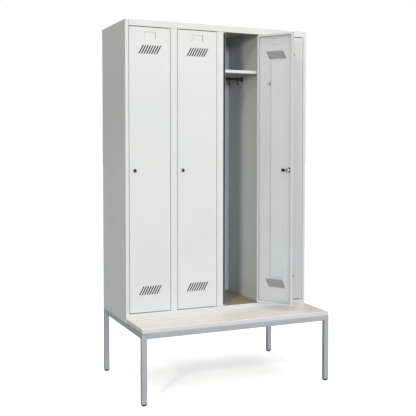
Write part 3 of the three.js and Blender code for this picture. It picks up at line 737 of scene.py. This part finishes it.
# %% [markdown]
# ## Coat rails
#
# A round bar runs across each compartment between two flanges. Three cylinders could be
# joined, but one turned profile gives bar, flanges, soft rims and the small fillet between
# them in one closed surface.

# %% Make the coat rails
BAYS = 4
RAIL_RADIUS = 0.008
RAIL_FLANGE_RADIUS = 0.016
RAIL_FLANGE = 0.002
RAIL_SOFT = 0.0005
RAIL_FILLET = 0.001
RAIL_SIDES = 40


def along_x(points, place):
    """Turns a surface drawn about Z so that it runs along X from place."""
    return np.stack([points[..., 2], points[..., 0], points[..., 1]], axis=-1) + place


def coat_rail(node):
    """A bar between two flanges whose rims are rounded, as one turned profile."""
    low, high = node_box(node)
    length = high[0] - low[0]
    one_end = [(0.0, 0.0), (RAIL_FLANGE_RADIUS, 0.0), (RAIL_FLANGE_RADIUS, RAIL_FLANGE - RAIL_SOFT),
               (RAIL_FLANGE_RADIUS - RAIL_SOFT, RAIL_FLANGE), (RAIL_RADIUS + RAIL_FILLET, RAIL_FLANGE),
               (RAIL_RADIUS, RAIL_FLANGE + RAIL_FILLET)]
    profile = one_end + [(radius, length - height) for radius, height in reversed(one_end)]
    place = np.array([low[0], (low[1] + high[1]) / 2, (low[2] + high[2]) / 2])
    points = along_x(turned_points(profile, RAIL_SIDES), place)
    return stand_in(f"{node}_bar", joined_mesh(f"{node}_bar", strips([points])), node)


rails = [coat_rail(f"coat_rail_{bay + 1}") for bay in range(BAYS)]
print("made", len(rails), "coat rails")

# %% [markdown]
# ## Coat hooks
#
# Two plastic hooks slide on each rail. A hook is a ring round the bar and a wire that drops,
# bows forward and turns up again to a rounded tip. A curve object with a round bevel could
# be the wire, but its ends stay flat. Here each ring of points stands square to the path's
# direction, and the last rings shrink into a dome.

# %% Make the coat hooks
HOOK_BORE = 0.00835
HOOK_WALL = 0.003
HOOK_WIDTH = 0.008
HOOK_SOFT = 0.0006
HOOK_DROP = 0.043
BOW_RADIUS = 0.0085
WIRE_RADIUS = 0.0024
TIP_RISE = 0.009
WIRE_SIDES = 20
DROP_STEPS, BOW_STEPS, RISE_STEPS, CAP_STEPS = 6, 19, 4, 6


def wire_points(path, radius, sides):
    """A round wire in a plane of constant X. At each path point the wire's circle is spanned
    by the X axis and the direction square to both X and the path."""
    along = np.gradient(path, axis=0)
    along /= np.linalg.norm(along, axis=1)[:, None]
    across = np.broadcast_to([1.0, 0.0, 0.0], path.shape)
    square = np.cross(along, across)
    turn = (np.arange(sides) / sides * 2 * math.pi)[None, :, None]
    size = np.asarray(radius, float).reshape(-1, 1, 1)
    return path[:, None] + size * (np.cos(turn) * across[:, None] + np.sin(turn) * square[:, None])


def at_x_zero(y, z):
    """Points of a path in the plane of zero X."""
    return np.stack([np.zeros_like(z), y, z], axis=-1)


def hook_ring():
    """The ring of a hook about the bar's axis, with softened rims."""
    half, soft = HOOK_WIDTH / 2, HOOK_SOFT
    rim = HOOK_BORE + HOOK_WALL
    one_side = [(HOOK_BORE, soft - half), (HOOK_BORE + soft, -half), (rim - soft, -half), (rim, soft - half)]
    profile = one_side + [(radius, -height) for radius, height in reversed(one_side)]
    return along_x(turned_points(profile, RAIL_SIDES), np.zeros(3))


def hook_wire():
    """The wire of a hook, from inside the ring down, round the bow and up to its tip."""
    bow_z = -(HOOK_DROP - BOW_RADIUS - WIRE_RADIUS)
    down = np.linspace(-(HOOK_BORE + HOOK_WALL / 2), bow_z, DROP_STEPS)[:-1]
    angle = np.linspace(0, math.pi, BOW_STEPS)
    rise = np.linspace(0, TIP_RISE, RISE_STEPS)[1:]
    drop = at_x_zero(np.zeros_like(down), down)
    bow = at_x_zero(BOW_RADIUS * (np.cos(angle) - 1), bow_z - BOW_RADIUS * np.sin(angle))
    tip = at_x_zero(np.full_like(rise, -2 * BOW_RADIUS), bow_z + rise)
    dome = np.linspace(0, math.pi / 2, CAP_STEPS)[1:]
    cap = tip[-1] + WIRE_RADIUS * (np.sin(dome) - 1)[:, None] * np.array([0.0, 0.0, 1.0])
    tip[-1, 2] -= WIRE_RADIUS
    path = np.concatenate([drop, bow, tip, cap])
    size = np.concatenate([np.full(len(path) - len(dome), WIRE_RADIUS), WIRE_RADIUS * np.cos(dome)])
    first_row = np.repeat(path[:1, None], WIRE_SIDES, axis=1)
    return np.concatenate([first_row, wire_points(path, size, WIRE_SIDES)])


def coat_hook(node, rail):
    """A hook at its node's place along the axis of its rail."""
    low, high = node_box(node)
    rail_low, rail_high = node_box(rail)
    axis = np.array([(low[0] + high[0]) / 2, (rail_low[1] + rail_high[1]) / 2,
                     (rail_low[2] + rail_high[2]) / 2])
    ring, wire = hook_ring() + axis, hook_wire() + axis
    mesh = joined_mesh(f"{node}_moulding", [(ring, grid_faces(*ring.shape[:2])), *strips([wire])])
    return stand_in(f"{node}_moulding", mesh, node)


hooks = [coat_hook(f"coat_hook_{bay + 1}{order}", f"coat_rail_{bay + 1}")
         for bay in range(BAYS) for order in "ab"]
print("made", len(hooks), "coat hooks")

# %% [markdown]
# ## Places on a door
#
# The small details sit on the sheet metal. They could be placed one by one in the room, but
# one door stands open. It is easier to draw them on a closed door, right, up and inwards from
# its pivot, and to let one function turn them with their door. All are thin prisms, so
# a single function draws them too.

# %% Write the helpers for small details
BAY_PITCH = 0.3
MULLION_X = -0.6
PIVOT_X, PIVOT_Y = -0.3312, -0.095
PIVOTS = [(PIVOT_X + BAY_PITCH * bay, PIVOT_Y) for bay in range(BAYS)]
OPEN_ANGLES = [0.0, 0.0, -math.radians(JOINTS["door_hinge_3"]["range_deg"][0]), 0.0]


def prism(outline, low, high):
    """An outline of (u, v) points at w = low and again at w = high. A first and a last row, drawn
    together to the outline's middle, close both ends."""
    outline = np.asarray(outline, float)
    centre = np.broadcast_to(outline.mean(axis=0), outline.shape)
    levels = [(centre, low), (outline, low), (outline, high), (centre, high)]
    return np.stack([np.column_stack([flat, np.full(len(flat), w)]) for flat, w in levels])


def on_door(points, bay):
    """Moves a prism drawn on a door to its place. Its (u, v, w) are right, up and inwards from
    the door's pivot, and the door at rest is turned by its open angle about the pivot."""
    angle = OPEN_ANGLES[bay]
    x, z, y = points[..., 0], points[..., 1], points[..., 2]
    return np.stack([PIVOTS[bay][0] + x * math.cos(angle) - y * math.sin(angle),
                     PIVOTS[bay][1] + x * math.sin(angle) + y * math.cos(angle), z], axis=-1)


def small_piece(name, surfaces, finish, body):
    """One object from several closed surfaces, each a grid of points closed round its columns."""
    mesh = joined_mesh(name, strips(surfaces))
    mesh.materials.append(finish)
    obj = bpy.data.objects.new(name, mesh)
    scene.collection.objects.link(obj)
    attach(obj, body)
    weigh_normals(obj)


print("pivots at", PIVOTS)

# %% [markdown]
# ## Slot gauze of painted shade
#
# The slots of the doors are dark, on the open door too. On the closed doors that dark is the
# shade inside the locker, so the gauze there is painted shade. Why the open door's slots are
# dark can't be seen, and a fine gauze against dust is a guess. Black paint on the sheet would
# look flat. A thin gauze in the thickness of the sheet leaves the slots their depth and is dark from both
# sides.

# %% Make the slot gauze of painted shade
DOOR_MIDDLE = -0.1188
SLOTS = 8
SLOT_PITCH = 0.0153
SLOT_HALF_WIDTH = 0.0038
SLOT_HALF_HEIGHT = 0.0254
SLOT_CUT = 0.0012
SLOT_LEAN = 27 / 51
SLOT_HEIGHTS = (2.0095, 0.5905)
SHADE_GAUZE_BACK, SHADE_GAUZE_FRONT = -0.00435, -0.00465

side = np.array([-1, -1, 1, 1, 1, 1, -1, -1])
inward = np.array([0, 1, -1, 0, 0, -1, 1, 0])
below_cut = SLOT_HALF_HEIGHT - SLOT_CUT
rise = np.array([-below_cut, -SLOT_HALF_HEIGHT, -SLOT_HALF_HEIGHT, -below_cut,
                 below_cut, SLOT_HALF_HEIGHT, SLOT_HALF_HEIGHT, below_cut])
slot_outline = np.column_stack([side * SLOT_HALF_WIDTH + inward * SLOT_CUT + SLOT_LEAN * rise, rise])
slot_places = [(DOOR_MIDDLE + (i - (SLOTS - 1) / 2) * SLOT_PITCH, height)
               for height in SLOT_HEIGHTS for i in range(SLOTS)]
for bay in range(BAYS):
    shade_gauze_prisms = [on_door(prism(slot_outline + place, SHADE_GAUZE_FRONT, SHADE_GAUZE_BACK), bay) for place in slot_places]
    small_piece(f"slot_shade_gauze_{bay + 1}", shade_gauze_prisms, slot_shade_gauze, f"leaf_{bay + 1}")
print("made gauze for", len(slot_places), "slots a door")

# %% [markdown]
# ## Painted shadow on the door stops
#
# A dark line runs down beside the open door, where the mullion's shadow falls on the stop. A
# dark strip on each stop paints that shadow. A flat strip would show sharp edges, so its face is
# a shallow crown that falls away at both edges.

# %% Make the strips of painted shadow on the stops
SHADOW_STRIP_LEFT, SHADOW_STRIP_RIGHT = 0.0215, 0.0393
SHADOW_STRIP_BACK = -0.0812
SHADOW_STRIP_THICK = 0.0007
SHADOW_STRIP_LOW, SHADOW_STRIP_HIGH = 0.462, 2.138
SHADOW_STRIP_STEPS = 15
SHADOW_STRIP_CROWN = 6

across = np.linspace(-1, 1, SHADOW_STRIP_STEPS)
shadow_strip_x = (SHADOW_STRIP_LEFT + SHADOW_STRIP_RIGHT) / 2 + across * (SHADOW_STRIP_RIGHT - SHADOW_STRIP_LEFT) / 2
shadow_strip_y = SHADOW_STRIP_BACK - SHADOW_STRIP_THICK * (1 - across ** SHADOW_STRIP_CROWN)
for bay in range(BAYS):
    mullion = MULLION_X + BAY_PITCH * bay
    strip = prism(np.column_stack([shadow_strip_x + mullion, shadow_strip_y]), SHADOW_STRIP_LOW, SHADOW_STRIP_HIGH)
    small_piece(f"stop_shadow_strip_{bay + 1}", [strip], dark_painted_shadow, "cabinet")
print("made", BAYS, "door seals")

# %% [markdown]
# ## Painted shadow at the cam tips
#
# The tip of the lock's cam is dark, where the bent tip casts its shadow on the edge of the
# stiffener. A dark sleeve round the tip paints that shadow. Paint on the tip would have no
# thickness, so the sleeve is a prism round it with a rounded end.

# %% Make the painted shadow at the cam tips
TIP_ROOT = -0.1985
TIP_CENTRE = -0.1790
TIP_ROUND = 0.0062
TIP_BULGE = 0.6
TIP_STEPS = 17
TIP_HALF_WIDTH = 0.0085
TIP_FRONT, TIP_BACK = 0.0177, 0.0215
LOCK_HEIGHT = 1.3

bend = np.linspace(-math.pi / 2, math.pi / 2, TIP_STEPS)
tip_u = np.concatenate([[TIP_ROOT], TIP_CENTRE + TIP_ROUND * np.cos(bend) ** TIP_BULGE, [TIP_ROOT]])
tip_v = LOCK_HEIGHT + TIP_HALF_WIDTH * np.concatenate([[-1], np.sin(bend), [1]])
for bay in range(BAYS):
    tip = on_door(prism(np.column_stack([tip_u, tip_v]), TIP_FRONT, TIP_BACK), bay)
    small_piece(f"cam_tip_shadow_{bay + 1}", [tip], dark_painted_shadow, f"cam_{bay + 1}")
print("made", BAYS, "cam tips")

# %% [markdown]
# ## Finishes of the locks
#
# A cam lock is a bright barrel with a dark bezel in front of the sheet and a spring clip
# behind it. In it turns a dark plug that carries the cam and its nut. The clip and the nut are
# near black: dark metal, made darker as painted shadow round the barrel's end. Each node could
# be cut into parts, but it is one piece of the frame and can stay one: each face finds its
# finish from its depth on the door and its distance from the lock's axis.

# %% Give the locks their finishes
LOCK_AXIS = -0.2118
BEZEL_BACK = -0.0051
CLIP_FRONT, CLIP_BACK = -0.0040, -0.0004
INSIDE_CLIP = 0.0079
PLUG_BACK = 0.0100
NUT_FRONT = 0.0210


def places_on_lock(obj, bay):
    """The middle of each face, as its depth on the door, which is its distance inwards from the
    pivot, and its distance from the lock's axis."""
    angle = OPEN_ANGLES[bay]
    middles = np.empty(len(obj.data.polygons) * 3)
    obj.data.polygons.foreach_get("center", middles)
    middles = middles.reshape(-1, 3)
    offset = middles[:, :2] - PIVOTS[bay]
    inwards = offset @ (-math.sin(angle), math.cos(angle))
    along = offset @ (math.cos(angle), math.sin(angle))
    return inwards, np.hypot(along - LOCK_AXIS, middles[:, 2] - LOCK_HEIGHT)


for bay in range(BAYS):
    body = bpy.data.objects[f"lock_body_{bay + 1}_sheet"]
    inwards, radius = places_on_lock(body, bay)
    on_shadowed_clip = (inwards > CLIP_FRONT) & (inwards < CLIP_BACK) & (radius > INSIDE_CLIP)
    give_finishes(body, [(lock_bezel, inwards < BEZEL_BACK), (lock_clip_shadowed, on_shadowed_clip)])
    cam = bpy.data.objects[f"lock_cam_{bay + 1}_sheet"]
    inwards, radius = places_on_lock(cam, bay)
    give_finishes(cam, [(lock_plug, inwards < PLUG_BACK), (cam_nut_shadowed, inwards > NUT_FRONT)])
print("dressed", BAYS, "locks")

# %% [markdown]
# ## Floor boards of painted shade
#
# The floor of the open compartment is brown and dark, since it gets light only at a grazing
# angle. A thin brown board that lies there paints that shade, and the board is a guess. Brown
# paint would be simpler, but the floor panel is one sheet with the pale rail under the doors.
# The board is a prism with two notches in front, one for the door's stop and one for the pin on
# which the door turns.

# %% Lay the floor boards of painted shade
FLOOR_TOP = 0.4571
SHADE_BOARD_TOP = 0.4581
SHADE_BOARD_FRONT, SHADE_BOARD_BACK = -0.0980, 0.3950
BEHIND_STOP = -0.0780
RIGHT_OF_STOP = 0.0415
LEFT_OF_PIVOT = 0.2620
OUTER_WALL, LEFT_WALL, RIGHT_WALL = 0.0025, -0.0185, 0.2775

for bay in range(BAYS):
    mullion = MULLION_X + BAY_PITCH * bay
    left_end = mullion + (LEFT_WALL if bay else OUTER_WALL)
    right_end = mullion + RIGHT_WALL
    outline = [(mullion + RIGHT_OF_STOP, SHADE_BOARD_FRONT), (mullion + LEFT_OF_PIVOT, SHADE_BOARD_FRONT),
               (mullion + LEFT_OF_PIVOT, BEHIND_STOP), (right_end, BEHIND_STOP), (right_end, SHADE_BOARD_BACK),
               (left_end, SHADE_BOARD_BACK), (left_end, BEHIND_STOP), (mullion + RIGHT_OF_STOP, BEHIND_STOP)]
    board = prism(outline, FLOOR_TOP, SHADE_BOARD_TOP)
    small_piece(f"floor_shade_board_{bay + 1}", [board], floor_shade_board, "cabinet")
print("laid", BAYS, "floor boards")
